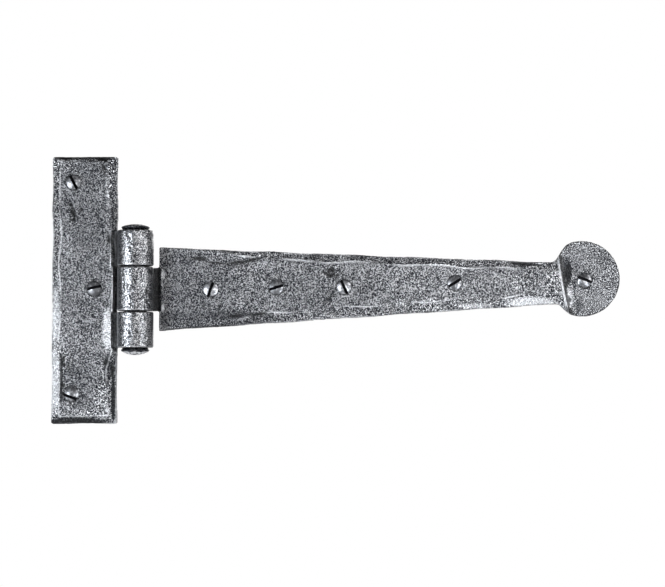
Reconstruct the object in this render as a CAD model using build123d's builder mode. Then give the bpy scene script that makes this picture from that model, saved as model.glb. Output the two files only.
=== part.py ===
from build123d import *

import os
from math import asin, cos, degrees, pi, radians, sin, tan

# A forged tee hinge: a long tapering strap with a round end swings on a tall back plate.
# Millimetres. +X runs along the strap, +Z up the hinge pin and +Y into the door, so the fronts face -Y.
# The origin is the centre of the back plate's back face. Both leaves have their backs in the plane Y = 0.

# Forged bar and the marks of the hammer
bar_thickness = 4.2
bevel_depth = 1.6
blow_length = 13.0
edge_stray = 0.45
bevel_unevenness = 0.22
beaten_bevel_share = 0.35

# Back plate
plate_width = 31.4
plate_height = 127.0
plate_corner_radius = 1.1
plate_left_bevel = 4.0
plate_right_bevel = 4.6
plate_top_bevel = 2.0
plate_bottom_bevel = 3.8
hollow_depth = 2.1
hollow_floor = 1.0
tongue_recess_plate = 3.1

# Strap
strap_root_width = 40.2
strap_neck_width = 20.2
strap_reach = 229.4
strap_root_rise = 0.45
strap_neck_rise = 3.4
strap_upper_bevel = 3.9
strap_lower_bevel = 5.9
bevel_fade_start = 20.0
bevel_fade_length = 38.0
bevel_fade_least = 0.15
tongue_recess_strap = 1.0

# Round end of the strap
round_end_radius = 18.1
round_end_rise = 5.5
round_end_thickness = 2.6
round_end_edge = 0.7
shoulder_upper_angle = 115.0
shoulder_lower_angle = -110.0
neck_upper_setback = 13.1
neck_lower_setback = 11.0
neck_fillet = 3.0
shoulder_fillet = 8.0
ridge_setback = 9.4
ridge_lean = 9.7
ridge_run = 0.7

# Rolled knuckles and the pin through them
pin_radius = 5.5
pin_clearance = 0.08
tongue_thickness = 3.0
roll_seam = 0.4
roll_corner_radius = 2.2
knuckle_rim_chamfer = 0.4
end_knuckle_height = 16.8
middle_knuckle_height = 20.8
knuckle_gap = 0.45
knuckles_rise = 0.3
plate_edge_clearance = 0.35
strap_end_clearance = 2.05
recess_ramp = 0.8

# Upset ends of the pin
pin_neck_radius = 5.9
pin_rim_radius = 6.65
pin_rim_stand = 1.65
pin_top_dome = 1.2
pin_bottom_dome = 1.75
pin_end_play = 0.05

# How far the shapes that are cut away run past what they cut
cut_past = 5.0

# Crowns of the pin's ends and the screw heads: where their flats meet, as shares of radius and rise
pin_crown = [(0.55, 1.0)]
screw_crown = [(0.5, 1.0)]

# Slotted wood screws with raised countersunk heads
screw_head_radius = 3.6
screw_head_angle = 90.0
screw_dome_rise = 1.1
screw_shank_radius = 1.95
screw_thread_radius = 1.75
screw_tip_radius = 0.3
screw_point_sides = 10
screw_length = 32.0
screw_thread_length = 21.0
screw_point_length = 5.0
screw_slot_width = 1.0
screw_slot_depth = 1.3
screw_hole_clearance = 0.3
head_ring_gap = 0.36
head_seat_gap = 0.07

# Screws of the back plate: in from its left edge, up from its centre, slot angle and slot shift.
# The outer two are set in from the plate's ends.
plate_screw_top_inset = 12.3
plate_screw_bottom_inset = 14.2
plate_screws = {
    "plate_screw_top": (10.2, plate_height / 2 - plate_screw_top_inset, -62.0, 0.1),
    "plate_screw_middle": (20.5, 0.6, 12.0, 0.6),
    "plate_screw_bottom": (9.7, plate_screw_bottom_inset - plate_height / 2, -20.0, -1.3),
}

# Screws of the strap: along from its root and up from its centre line, slot angle and slot shift.
# The last one is measured from the middle of the round end instead.
strap_screws = [
    (24.5, -0.5, 70.6, 0.0),
    (55.6, -0.1, 17.5, 0.0),
    (87.7, -0.4, -65.4, 0.0),
    (140.2, 0.7, 31.5, 0.1),
]
round_end_screw = (1.3, -0.9, -22.0, 0.4)

# Places that follow from the sizes above
bore_radius = pin_radius + pin_clearance
knuckle_radius = bore_radius + tongue_thickness
pin_x = plate_width / 2 + plate_edge_clearance + knuckle_radius
pin_y = -knuckle_radius
middle_knuckle_bottom = knuckles_rise - middle_knuckle_height / 2
middle_knuckle_top = knuckles_rise + middle_knuckle_height / 2
upper_knuckle_bottom = middle_knuckle_top + knuckle_gap
upper_knuckle_top = upper_knuckle_bottom + end_knuckle_height
lower_knuckle_top = middle_knuckle_bottom - knuckle_gap
lower_knuckle_bottom = lower_knuckle_top - end_knuckle_height
strap_root_x = pin_x + knuckle_radius + strap_end_clearance
round_end_x = pin_x + strap_reach - round_end_radius
round_end_step = bar_thickness - round_end_thickness
countersink_radius = screw_head_radius + head_ring_gap
screw_hole_radius = screw_shank_radius + screw_hole_clearance
rim_sink = head_ring_gap / tan(radians(screw_head_angle / 2)) - head_seat_gap


def uneven(blow):
    """A steady scatter between 0 and 1, so that no two blows of the hammer fall alike."""
    return 0.5 + 0.5 * sin(2.4 * blow)


def hammered_edge(start, end, first_blow):
    """The points of an edge forged from start to end, with one straight flat to each blow.

    The body lies to the left of the edge, and only the points between the two ends stray into it.
    """
    run = end - start
    blows = max(2, round(run.length / blow_length))
    inward = Vector(-run.Y, run.X).normalized()
    between = [
        start + run * (blow / blows) + inward * (edge_stray * uneven(first_blow + blow))
        for blow in range(1, blows)
    ]
    return [start, *between, end]


def edge_bevel(edge, width_at, first_blow):
    """The wedge to cut away along the front of an edge. width_at gives the bevel's width at a point."""
    along = (edge[-1] - edge[0]).normalized()
    outward = Vector(along.Y, -along.X)
    stations = [edge[0] - along * cut_past, *edge, edge[-1] + along * cut_past]
    with BuildPart() as wedge:
        for blow, point in enumerate(stations):
            scatter = 1 + bevel_unevenness * (2 * uneven(first_blow + blow) - 1)
            width = width_at(point) * scatter
            past = width * cut_past / bevel_depth
            across = Plane(
                origin=(point.X, -bar_thickness, point.Y),
                x_dir=(outward.X, 0, outward.Y),
                z_dir=(along.X, 0, along.Y),
            )
            with BuildSketch(across):
                Polygon((-width - past, -cut_past), (past, -cut_past), (past, bevel_depth + cut_past), align=None)
        loft(ruled=True)
    return wedge.part


def is_knuckle_rim(edge):
    """Whether an edge runs round the outside of a roll."""
    return abs(edge.radius - knuckle_radius) < pin_clearance and abs(edge.normal().Z) > 0.5


def rolled_knuckle(tongue_x, side, bottom, top):
    """A knuckle rolled from the tongue of a leaf that lies on the given side of the pin.

    The tongue starts at tongue_x. It leaves the roll at the back, and from there the roll goes round
    the far side and the front to a free end that closes on the tongue again.
    """
    sweep = 270 + degrees(asin((knuckle_radius - tongue_thickness - roll_seam) / knuckle_radius))
    with BuildPart() as knuckle:
        with BuildSketch(Plane.XY.offset(bottom)):
            with BuildLine():
                outer = CenterArc((pin_x, pin_y), knuckle_radius, 90, side * sweep)
                inner = CenterArc((pin_x, pin_y), bore_radius, 90, side * sweep)
                Line(outer @ 1, inner @ 1)
                Polyline(outer @ 0, (tongue_x, 0), (tongue_x, -tongue_thickness), inner @ 0)
            make_face()
        extrude(amount=top - bottom)
        lip_angle = radians(90 + side * sweep)
        lip_reach = (knuckle_radius + bore_radius) / 2
        lip_x = pin_x + lip_reach * cos(lip_angle)
        lip_y = pin_y + lip_reach * sin(lip_angle)
        lip = knuckle.faces().sort_by_distance(Vector(lip_x, lip_y, (bottom + top) / 2))[0]
        fillet(lip.edges().filter_by(Axis.Z, reverse=True), roll_corner_radius)
        rims = knuckle.edges().filter_by(GeomType.CIRCLE).filter_by(is_knuckle_rim)
        chamfer(rims, knuckle_rim_chamfer)
    return knuckle.part


def tongue_recess(step_x, side, bottom, top):
    """What is cut from a leaf's front over a tongue, with a ramp up to the leaf at step_x."""
    above = -bar_thickness - cut_past
    with BuildPart() as recess:
        with BuildSketch(Plane.XY.offset(bottom)):
            with BuildLine():
                Polyline(
                    (pin_x, -tongue_thickness),
                    (step_x - side * recess_ramp, -tongue_thickness),
                    (step_x, -bar_thickness),
                    (step_x, above),
                    (pin_x, above),
                    close=True,
                )
            make_face()
        extrude(amount=top - bottom)
    return recess.part


def crown(radius, start, rise, breaks):
    """The profile of a crown, from the axis out over its flats to its rim at the height start."""
    flats = [(share * radius, start + height * rise) for share, height in reversed(breaks)]
    return [(0, start + rise), *flats, (radius, start)]


def front_plane(x, z, level, turn=0.0):
    """The plane that faces forward at a height above the back, turned anticlockwise seen from the front."""
    turned = radians(turn)
    return Plane(origin=(x, -level, z), x_dir=(cos(turned), 0, sin(turned)), z_dir=(0, -1, 0))


def countersinks(places, thickness):
    """Planes for the screw holes of one leaf, on its front."""
    return [front_plane(x, z, thickness) for x, z in places]


def wood_screw(x, z, leaf_thickness, slot_turn, slot_shift):
    """A slotted wood screw with a raised countersunk head, seated in its countersink."""
    rim_level = leaf_thickness - rim_sink
    cone_end = (screw_head_radius - screw_shank_radius) / tan(radians(screw_head_angle / 2)) - rim_level
    thread_start = screw_length - screw_thread_length - rim_level
    point_start = screw_length - screw_point_length - rim_level
    with BuildPart() as screw:
        with BuildSketch(Plane(origin=(x, 0, z))):
            with BuildLine():
                Polyline(
                    *crown(screw_head_radius, -rim_level, -screw_dome_rise, screw_crown),
                    (screw_shank_radius, cone_end),
                    (screw_shank_radius, thread_start),
                    (screw_thread_radius, thread_start),
                    (screw_thread_radius, point_start),
                    (0, point_start),
                    close=True,
                )
            make_face()
        revolve(axis=Axis((x, 0, z), (0, 1, 0)))
        with BuildSketch(Plane(origin=(x, point_start, z), x_dir=(1, 0, 0), z_dir=(0, 1, 0))):
            RegularPolygon(screw_thread_radius, screw_point_sides)
        extrude(amount=screw_point_length)
        flat_radius = screw_thread_radius * cos(pi / screw_point_sides)
        for side in range(screw_point_sides):
            turned = 2 * pi * (side + 0.5) / screw_point_sides
            outward = (cos(turned), 0, sin(turned))
            sideways = (-sin(turned), 0, cos(turned))
            with BuildSketch(Plane(origin=(x, point_start, z), x_dir=outward, z_dir=sideways)):
                Polygon(
                    (flat_radius, 0),
                    (screw_tip_radius, screw_point_length),
                    (screw_head_radius, screw_point_length),
                    (screw_head_radius, 0),
                    align=None,
                )
            extrude(amount=screw_thread_radius, both=True, mode=Mode.SUBTRACT)
        slot_floor = rim_level + screw_dome_rise - screw_slot_depth
        with BuildSketch(front_plane(x, z, slot_floor, slot_turn)):
            with Locations((0, slot_shift)):
                Rectangle(2 * (screw_head_radius + cut_past), screw_slot_width)
        extrude(amount=screw_slot_depth + cut_past, mode=Mode.SUBTRACT)
    return screw.part


# Back plate: outline, bevels, hollow for the strap's knuckle, recesses, knuckles and screw holes
left, right = -plate_width / 2, plate_width / 2
bottom, top = -plate_height / 2, plate_height / 2
plate_corners = [Vector(left, bottom), Vector(right, bottom), Vector(right, top), Vector(left, top)]
plate_edges = [
    hammered_edge(corner, plate_corners[(turn + 1) % 4], 7 * turn)
    for turn, corner in enumerate(plate_corners)
]


def right_bevel_at(point):
    """The right bevel is beaten narrow beside the knuckles, where the tongues leave the plate."""
    beside_knuckles = lower_knuckle_bottom - blow_length / 2 < point.Y < upper_knuckle_top
    return plate_right_bevel * (beaten_bevel_share if beside_knuckles else 1.0)


plate_bevels = [
    edge_bevel(plate_edges[0], lambda point: plate_bottom_bevel, 3),
    edge_bevel(plate_edges[1], right_bevel_at, 11),
    edge_bevel(plate_edges[2], lambda point: plate_top_bevel, 23),
    edge_bevel(plate_edges[3], lambda point: plate_left_bevel, 31),
]
plate_step_x = right - tongue_recess_plate
plate_tongue_x = plate_step_x - bar_thickness
end_knuckles = [(lower_knuckle_bottom, lower_knuckle_top), (upper_knuckle_bottom, upper_knuckle_top)]
plate_recesses = [tongue_recess(plate_step_x, -1, low, high) for low, high in end_knuckles]
plate_knuckles = [rolled_knuckle(plate_tongue_x, -1, low, high) for low, high in end_knuckles]
plate_places = [(left + inset, z) for inset, z, turn, shift in plate_screws.values()]

with BuildPart() as back_plate:
    with BuildSketch(Plane.XZ) as plate_outline:
        with BuildLine():
            for edge in plate_edges:
                Polyline(*edge)
        make_face()
        corners = [plate_outline.vertices().sort_by_distance(corner)[0] for corner in plate_corners]
        fillet(corners, plate_corner_radius)
    extrude(amount=bar_thickness)
    add(plate_bevels, mode=Mode.SUBTRACT)
    with BuildSketch(Plane.XZ.offset(hollow_floor)):
        with Locations((right, knuckles_rise)):
            Rectangle(2 * hollow_depth, middle_knuckle_height + 2 * knuckle_gap)
    extrude(amount=bar_thickness, mode=Mode.SUBTRACT)
    add(plate_recesses, mode=Mode.SUBTRACT)
    add(plate_knuckles)
    with Locations(*countersinks(plate_places, bar_thickness)):
        CounterSinkHole(screw_hole_radius, countersink_radius, counter_sink_angle=screw_head_angle)

# Strap: tapering outline with its round end, bevels, step down to the round end, knuckle and screw holes
root_lower = Vector(strap_root_x, strap_root_rise - strap_root_width / 2)
root_upper = Vector(strap_root_x, strap_root_rise + strap_root_width / 2)
neck_lower = Vector(round_end_x - neck_lower_setback, strap_neck_rise - strap_neck_width / 2)
neck_upper = Vector(round_end_x - neck_upper_setback, strap_neck_rise + strap_neck_width / 2)
lower_edge = hammered_edge(root_lower, neck_lower, 2)
upper_edge = hammered_edge(neck_upper, root_upper, 5)
ridge_normal = Vector(cos(radians(ridge_lean)), 0, sin(radians(ridge_lean)))
ridge_line = Vector(-ridge_normal.Z, 0, ridge_normal.X)
ridge_point = Vector(round_end_x - ridge_setback, -bar_thickness, strap_neck_rise)


def on_round_end(angle):
    """A point on the rim of the round end."""
    reach = round_end_radius * Vector(cos(radians(angle)), sin(radians(angle)))
    return Vector(round_end_x, round_end_rise) + reach


shoulder_lower = on_round_end(shoulder_lower_angle)
shoulder_upper = on_round_end(shoulder_upper_angle)


def faded(width):
    """A strap bevel starts thin beside the knuckle and grows to its full width along the strap."""

    def width_at(point):
        grown = (point.X - strap_root_x - bevel_fade_start) / bevel_fade_length
        return width * min(1.0, max(bevel_fade_least, grown))

    return width_at


def is_round_end_rim(edge):
    """Whether an edge runs round the round end itself, and not round a neck or a shoulder."""
    return abs(edge.radius - round_end_radius) < round_end_edge


with BuildPart() as strap_bevels:
    add(edge_bevel(lower_edge, faded(strap_lower_bevel), 43))
    add(edge_bevel(upper_edge, faded(strap_upper_bevel), 57))
    split(bisect_by=Plane(origin=ridge_point, z_dir=ridge_normal), keep=Keep.BOTTOM)

strap_step_x = strap_root_x + tongue_recess_strap
strap_tongue_x = strap_step_x + bar_thickness
strap_recess = tongue_recess(strap_step_x, 1, middle_knuckle_bottom, middle_knuckle_top)
strap_knuckle = rolled_knuckle(strap_tongue_x, 1, middle_knuckle_bottom, middle_knuckle_top)

strap_slope = (strap_neck_rise - strap_root_rise) / (neck_upper.X - strap_root_x)
strap_places = [
    (strap_root_x + along, strap_root_rise + strap_slope * along + up)
    for along, up, turn, shift in strap_screws
]
round_end_place = (round_end_x + round_end_screw[0], round_end_rise + round_end_screw[1])

with BuildPart() as strap:
    with BuildSketch(Plane.XZ) as strap_outline:
        with BuildLine():
            Polyline(*lower_edge, shoulder_lower)
            ThreePointArc(shoulder_lower, on_round_end(0), shoulder_upper)
            Polyline(shoulder_upper, *upper_edge, root_lower)
        make_face()
        necks = [strap_outline.vertices().sort_by_distance(neck)[0] for neck in (neck_lower, neck_upper)]
        fillet(necks, neck_fillet)
        shoulders = (shoulder_lower, shoulder_upper)
        corners = [strap_outline.vertices().sort_by_distance(shoulder)[0] for shoulder in shoulders]
        fillet(corners, shoulder_fillet)
    extrude(amount=bar_thickness)
    add(strap_bevels.part, mode=Mode.SUBTRACT)
    with BuildSketch(Plane(origin=ridge_point, x_dir=ridge_normal, z_dir=ridge_line)):
        with BuildLine():
            beyond = 2 * round_end_radius + cut_past
            Polyline(
                (0, -cut_past),
                (0, 0),
                (ridge_run, round_end_step),
                (beyond, round_end_step),
                (beyond, -cut_past),
                close=True,
            )
        make_face()
    extrude(amount=round_end_radius + cut_past, both=True, mode=Mode.SUBTRACT)
    rims = strap.edges().filter_by(GeomType.CIRCLE).filter_by(is_round_end_rim)
    chamfer(rims.sort_by(Axis.Y)[0], round_end_edge)
    add(strap_recess, mode=Mode.SUBTRACT)
    add(strap_knuckle)
    with Locations(*countersinks(strap_places, bar_thickness)):
        CounterSinkHole(screw_hole_radius, countersink_radius, counter_sink_angle=screw_head_angle)
    with Locations(*countersinks([round_end_place], round_end_thickness)):
        CounterSinkHole(screw_hole_radius, countersink_radius, counter_sink_angle=screw_head_angle)


# Hinge pin: a plain shank whose upset ends bear on the outer knuckles
shank_top = upper_knuckle_top + pin_end_play
shank_bottom = lower_knuckle_bottom - pin_end_play
with BuildPart() as hinge_pin:
    with BuildSketch(Plane(origin=(pin_x, pin_y, 0), x_dir=(1, 0, 0), z_dir=(0, -1, 0))):
        with BuildLine():
            Polyline(
                *crown(pin_rim_radius, shank_top + pin_rim_stand, pin_top_dome, pin_crown),
                (pin_neck_radius, shank_top),
                (pin_radius, shank_top),
                (pin_radius, shank_bottom),
                (pin_neck_radius, shank_bottom),
                *reversed(crown(pin_rim_radius, shank_bottom - pin_rim_stand, -pin_bottom_dome, pin_crown)),
                close=True,
            )
        make_face()
    revolve(axis=Axis((pin_x, pin_y, 0), (0, 0, 1)))

pieces = {"back_plate": back_plate.part, "strap": strap.part, "hinge_pin": hinge_pin.part}
for (name, (inset, z, turn, shift)), (x, z) in zip(plate_screws.items(), plate_places):
    pieces[name] = wood_screw(x, z, bar_thickness, turn, shift)
for number, ((x, z), (along, up, turn, shift)) in enumerate(zip(strap_places, strap_screws), 1):
    pieces[f"strap_screw_{number}"] = wood_screw(x, z, bar_thickness, turn, shift)
pieces["strap_screw_5"] = wood_screw(*round_end_place, round_end_thickness, *round_end_screw[2:])

os.makedirs("parts", exist_ok=True)
for name, piece in pieces.items():
    piece.label = name
    export_step(piece, f"parts/{name}.step")
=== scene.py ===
import itertools
import math
from collections import namedtuple

import bmesh
import bpy
import numpy as np
from mathutils import Matrix, Vector


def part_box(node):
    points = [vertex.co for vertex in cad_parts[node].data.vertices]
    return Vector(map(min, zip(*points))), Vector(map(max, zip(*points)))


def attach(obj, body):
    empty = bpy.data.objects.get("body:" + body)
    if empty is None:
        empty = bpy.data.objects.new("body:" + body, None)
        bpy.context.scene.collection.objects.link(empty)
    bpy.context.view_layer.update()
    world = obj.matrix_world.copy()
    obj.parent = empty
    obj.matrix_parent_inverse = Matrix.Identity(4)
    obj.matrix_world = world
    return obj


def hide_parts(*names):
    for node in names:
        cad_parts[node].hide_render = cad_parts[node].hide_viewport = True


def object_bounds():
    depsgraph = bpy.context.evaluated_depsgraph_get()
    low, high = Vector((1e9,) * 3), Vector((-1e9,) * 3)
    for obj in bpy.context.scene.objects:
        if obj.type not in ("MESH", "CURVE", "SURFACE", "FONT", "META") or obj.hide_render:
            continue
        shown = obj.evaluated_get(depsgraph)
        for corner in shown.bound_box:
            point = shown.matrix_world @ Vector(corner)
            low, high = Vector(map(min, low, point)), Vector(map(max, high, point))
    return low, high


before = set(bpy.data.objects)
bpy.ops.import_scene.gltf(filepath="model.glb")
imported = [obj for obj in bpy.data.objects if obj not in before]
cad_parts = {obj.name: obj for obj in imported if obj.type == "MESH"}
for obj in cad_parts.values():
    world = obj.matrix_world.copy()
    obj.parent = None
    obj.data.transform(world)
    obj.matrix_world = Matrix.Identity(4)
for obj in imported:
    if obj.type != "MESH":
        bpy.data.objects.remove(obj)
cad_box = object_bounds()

bl_info = {
    "name": "Forged tee hinge",
    "version": (1, 0, 0),
    "blender": (4, 5, 0),
    "location": "View3D > Sidebar > Tee hinge",
    "description": "Hammered leaves, upset pin and slotted screws of a forged tee hinge on its studio stage",
    "category": "Object",
}

MM = 0.001

FRAME_LEAF = "frame_leaf"
DOOR_LEAF = "door_leaf"


def corners(node):
    """The lowest and the highest corner of a CAD node's box, in millimetres."""
    return [np.array(corner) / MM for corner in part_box(node)]


# Places read from the frame, in millimetres: +X runs along the strap, +Z up the pin and -Y to the front
PLATE_LOW, PLATE_HIGH = corners("back_plate")
STRAP_LOW, STRAP_HIGH = corners("strap")
PIN_LOW, PIN_HIGH = corners("hinge_pin")
PIN_AXIS_X, PIN_AXIS_Y = (PIN_LOW[:2] + PIN_HIGH[:2]) / 2
KNUCKLE_RADIUS = -STRAP_LOW[1] / 2
NECK_SETBACK = 29.0
NECK_X = STRAP_HIGH[0] - NECK_SETBACK

PLATE_SCREWS = ("plate_screw_top", "plate_screw_middle", "plate_screw_bottom")
STRAP_SCREWS = tuple(f"strap_screw_{number}" for number in range(1, 6))

# For each screw: the slot's angle in degrees, anticlockwise seen from the front, the slot's shift
# across the head in millimetres, and how far the head is darkened, standing for tarnish and painted shade
SCREW_SLOTS = {
    "plate_screw_top": (-62.0, 0.1, 0.3),
    "plate_screw_middle": (12.0, 0.6, 0.3),
    "plate_screw_bottom": (-20.0, -1.3, 0.3),
    "strap_screw_1": (70.6, 0.0, 0.0),
    "strap_screw_2": (17.5, 0.0, 0.2),
    "strap_screw_3": (-65.4, 0.0, 0.1),
    "strap_screw_4": (31.5, 0.1, 0.25),
    "strap_screw_5": (-22.0, 0.4, 0.5),
}

# Single marks of the hammer: x, z, half length, half width, turn in degrees and depth, in millimetres
PLATE_MARKS = [
    (-6.4, 40.5, 1.2, 0.5, -60.0, 0.4),
    (-5.6, 37.2, 1.3, 0.5, -10.0, 0.5),
    (-4.8, 33.8, 1.5, 0.5, -70.0, 0.45),
    (-9.6, -32.5, 1.8, 0.8, 80.0, 0.4),
    (10.4, -34.2, 1.5, 1.1, 60.0, 0.5),
    (-10.0, 63.4, 5.0, 1.3, 0.0, 0.5),
    (8.3, 62.6, 2.6, 1.2, -20.0, 0.6),
    (11.8, 24.0, 1.3, 2.6, 0.0, 0.35),
    (13.6, -38.0, 1.0, 5.0, 0.0, 0.4),
]
STRAP_MARKS = [
    (54.5, 14.9, 3.4, 0.7, -4.0, 0.6),
    (62.0, 13.0, 4.0, 0.6, -3.0, 0.4),
    (73.0, 13.2, 5.0, 0.7, 5.0, 0.55),
    (81.0, 14.8, 3.6, 0.7, 10.0, 0.5),
    (71.5, -12.2, 3.8, 0.7, 4.0, 0.5),
    (82.0, -11.6, 4.2, 0.7, 6.0, 0.5),
    (116.5, -3.4, 6.2, 0.55, 32.0, 0.3),
    (209.5, 12.6, 7.5, 0.6, -5.0, 0.65),
    (117.0, 10.0, 1.4, 0.8, 20.0, 0.35),
    (113.8, 8.2, 1.6, 0.7, -30.0, 0.35),
    (119.8, 7.0, 1.5, 0.7, 40.0, 0.3),
]

# Marks on the fronts of the rolls, given in the same way
PLATE_ROLL_MARKS = [
    (21.2, 26.0, 0.45, 1.9, 10.0, 0.4),
    (22.4, 24.2, 0.4, 1.5, 35.0, 0.35),
    (17.9, 27.0, 0.8, 0.5, 30.0, 0.35),
    (29.6, 26.6, 1.2, 0.5, 15.0, 0.35),
    (24.6, 13.2, 0.8, 0.6, -20.0, 0.3),
    (24.9, -11.6, 0.6, 0.5, 0.0, 0.4),
    (30.2, -13.4, 0.5, 1.2, 10.0, 0.35),
    (20.3, -24.3, 0.9, 0.5, 40.0, 0.3),
    (26.8, -25.0, 1.1, 0.6, -15.0, 0.3),
    (22.8, -20.5, 0.35, 3.2, 4.0, 0.2),
    (28.4, 19.0, 0.3, 3.4, -6.0, 0.18),
]
STRAP_ROLL_MARKS = [
    (19.7, 2.4, 0.32, 3.4, 4.0, 0.4),
    (19.0, 7.6, 0.3, 1.8, -6.0, 0.3),
    (31.0, -1.0, 0.75, 0.95, 15.0, 0.55),
    (32.3, -3.0, 0.6, 0.8, 30.0, 0.45),
    (32.2, 8.2, 0.6, 1.5, 25.0, 0.5),
    (31.4, -6.8, 0.42, 3.0, 28.0, 0.5),
    (27.0, 9.6, 1.0, 0.5, 20.0, 0.3),
    (22.0, -8.4, 1.3, 0.45, -10.0, 0.3),
    (30.0, -8.6, 0.4, 1.1, 10.0, 0.4),
]

# Clusters of small pits: x, z, half width, half height, number and depth
PLATE_PITS = [
    (-5.5, 36.5, 2.6, 5.5, 16, 0.42),
    (9.8, 57.0, 3.2, 3.0, 10, 0.35),
    (-8.8, -35.0, 2.4, 4.0, 10, 0.38),
    (-7.5, -48.0, 4.0, 4.0, 12, 0.35),
]
STRAP_PITS = [
    (117.0, 8.5, 4.5, 3.4, 18, 0.42),
    (208.0, 5.0, 9.0, 5.0, 14, 0.25),
    (222.5, 6.0, 2.4, 7.0, 8, 0.25),
    (150.0, -3.0, 12.0, 6.0, 20, 0.3),
    (62.0, -8.0, 12.0, 5.0, 14, 0.3),
]

# Clusters on the fronts of the rolls, given in the same way
PLATE_ROLL_PITS = [
    (24.0, 19.5, 5.5, 7.0, 18, 0.24),
    (24.0, -19.0, 5.5, 7.0, 18, 0.24),
]
STRAP_ROLL_PITS = [
    (24.0, 0.3, 5.5, 8.0, 20, 0.24),
]

# Patches of painted highlight, where bright reflections are painted into the colour: x, z, half length, half
# height in millimetres, and strength
PLATE_PAINTED_HIGHLIGHTS = [
    (-13.7, -12.0, 2.4, 18.0, 0.85),
    (-13.9, -42.0, 2.9, 19.0, 1.0),
    (15.5, -46.0, 0.7, 16.0, 1.0),
    (15.5, 45.0, 0.6, 18.0, 0.6),
    (11.0, -18.5, 2.8, 12.0, 1.0),
    (12.6, 13.5, 1.0, 4.5, 0.9),
    (11.0, 42.0, 1.4, 16.0, 0.25),
]
STRAP_PAINTED_HIGHLIGHTS = [
    (212.0, -6.0, 15.0, 3.4, 1.0),
    (185.0, -7.5, 10.0, 1.6, 0.7),
    (229.5, -3.0, 2.2, 5.0, 0.9),
    (226.0, 9.0, 1.0, 6.0, 0.6),
    (37.2, 7.2, 1.2, 3.0, 1.0),
    (37.2, -8.2, 1.1, 2.0, 1.0),
    (229.6, -6.0, 2.4, 3.2, 1.0),
]

# Patches darkened, mostly as painted shade where bevels and edges face away from the light and past the step,
# partly as tarnish; given in the same way
PLATE_SHADE_AND_TARNISH = [
    (0.0, 42.0, 16.0, 30.0, 0.42),
    (2.0, 0.0, 20.0, 30.0, 0.2),
    (-2.0, -44.0, 13.0, 17.0, 0.42),
    (11.4, -37.0, 2.6, 9.0, 0.8),
    (-13.4, 32.0, 4.2, 30.0, 0.4),
    (-4.0, -63.4, 22.0, 4.8, 1.0),
    (0.0, 63.4, 18.0, 1.8, 0.8),
    (14.0, 40.0, 3.6, 26.0, 0.4),
    (15.0, -34.0, 1.6, 7.0, 0.7),
    (13.8, -51.0, 1.3, 15.0, 1.0),
    (-10.7, -42.0, 1.0, 18.0, 1.0),
    (-10.0, 63.2, 5.0, 1.1, 1.0),
    (9.8, 62.4, 3.0, 1.2, 1.0),
    (-6.4, 40.4, 1.4, 0.7, 1.0),
    (-5.2, 37.2, 1.5, 0.6, 1.0),
    (-5.0, 33.8, 1.0, 1.6, 1.0),
]
STRAP_SHADE_AND_TARNISH = [
    (45.0, 1.0, 34.0, 26.0, 0.42),
    (108.0, -2.0, 40.0, 17.0, 0.26),
    (229.4, 8.0, 2.2, 8.0, 1.0),
    (234.0, -7.0, 2.2, 4.0, 0.7),
    (208.0, 13.6, 10.0, 1.3, 0.75),
    (135.0, 14.6, 60.0, 3.4, 0.42),
    (60.0, -14.0, 50.0, 5.5, 0.72),
    (130.0, -10.0, 40.0, 3.4, 0.3),
    (196.0, 11.5, 22.0, 2.6, 0.3),
    (117.0, 8.5, 5.0, 3.6, 0.4),
    (209.0, 5.0, 10.0, 5.5, 0.15),
    (228.6, 12.5, 2.0, 3.0, 0.8),
]

# Patches left coarse by the scale of the fire, given in the same way
PLATE_COARSE = [
    (-9.0, -33.0, 4.0, 7.0, 0.9),
    (-7.5, -50.0, 6.0, 8.0, 0.7),
    (9.5, -50.0, 6.5, 12.0, 0.9),
    (0.0, -58.5, 14.0, 2.6, 0.7),
    (-5.5, 36.0, 3.6, 7.0, 0.6),
]
STRAP_COARSE = [
    (222.0, 3.0, 5.0, 9.0, 1.0),
    (208.0, 4.0, 9.0, 5.0, 0.8),
    (229.8, 7.0, 2.6, 9.0, 1.0),
    (232.0, -6.0, 3.4, 5.0, 1.0),
    (55.0, -16.0, 22.0, 4.0, 0.7),
    (165.0, -6.0, 11.0, 3.4, 0.6),
    (117.0, 8.5, 6.0, 4.6, 0.8),
]

# How a dome falls off towards its rim: 2 is a plain parabola, and more is flatter on top
DOME_POWER = 2.2

# The line of the step down to the round end: a point on it in millimetres and its lean in degrees
STEP_X, STEP_Z, STEP_LEAN = 226.5, 3.4, 9.7

# Where along each leaf the polished line between face and bevel, brightened with a painted highlight, starts,
# and how fast it comes in, in millimetres: all along the plate, and past the root on the strap
PLATE_RIDGE_START, STRAP_RIDGE_START, RIDGE_RAMP = -100.0, 66.0, 14.0

# Everything that the hammer, the fire and handling have left on one leaf, and where highlights and shade are
# painted on it
LeafWork = namedtuple(
    "LeafWork",
    "screws marks roll_marks pits roll_pits rubbed tarnished coarse low high ridge_start seed",
)
PLATE_WORK = LeafWork(
    screws=PLATE_SCREWS,
    marks=PLATE_MARKS,
    roll_marks=PLATE_ROLL_MARKS,
    pits=PLATE_PITS,
    roll_pits=PLATE_ROLL_PITS,
    rubbed=PLATE_PAINTED_HIGHLIGHTS,
    tarnished=PLATE_SHADE_AND_TARNISH,
    coarse=PLATE_COARSE,
    low=PLATE_LOW,
    high=PLATE_HIGH,
    ridge_start=PLATE_RIDGE_START,
    seed=11,
)
STRAP_WORK = LeafWork(
    screws=STRAP_SCREWS,
    marks=STRAP_MARKS,
    roll_marks=STRAP_ROLL_MARKS,
    pits=STRAP_PITS,
    roll_pits=STRAP_ROLL_PITS,
    rubbed=STRAP_PAINTED_HIGHLIGHTS,
    tarnished=STRAP_SHADE_AND_TARNISH,
    coarse=STRAP_COARSE,
    low=STRAP_LOW,
    high=STRAP_HIGH,
    ridge_start=STRAP_RIDGE_START,
    seed=43,
)

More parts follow.
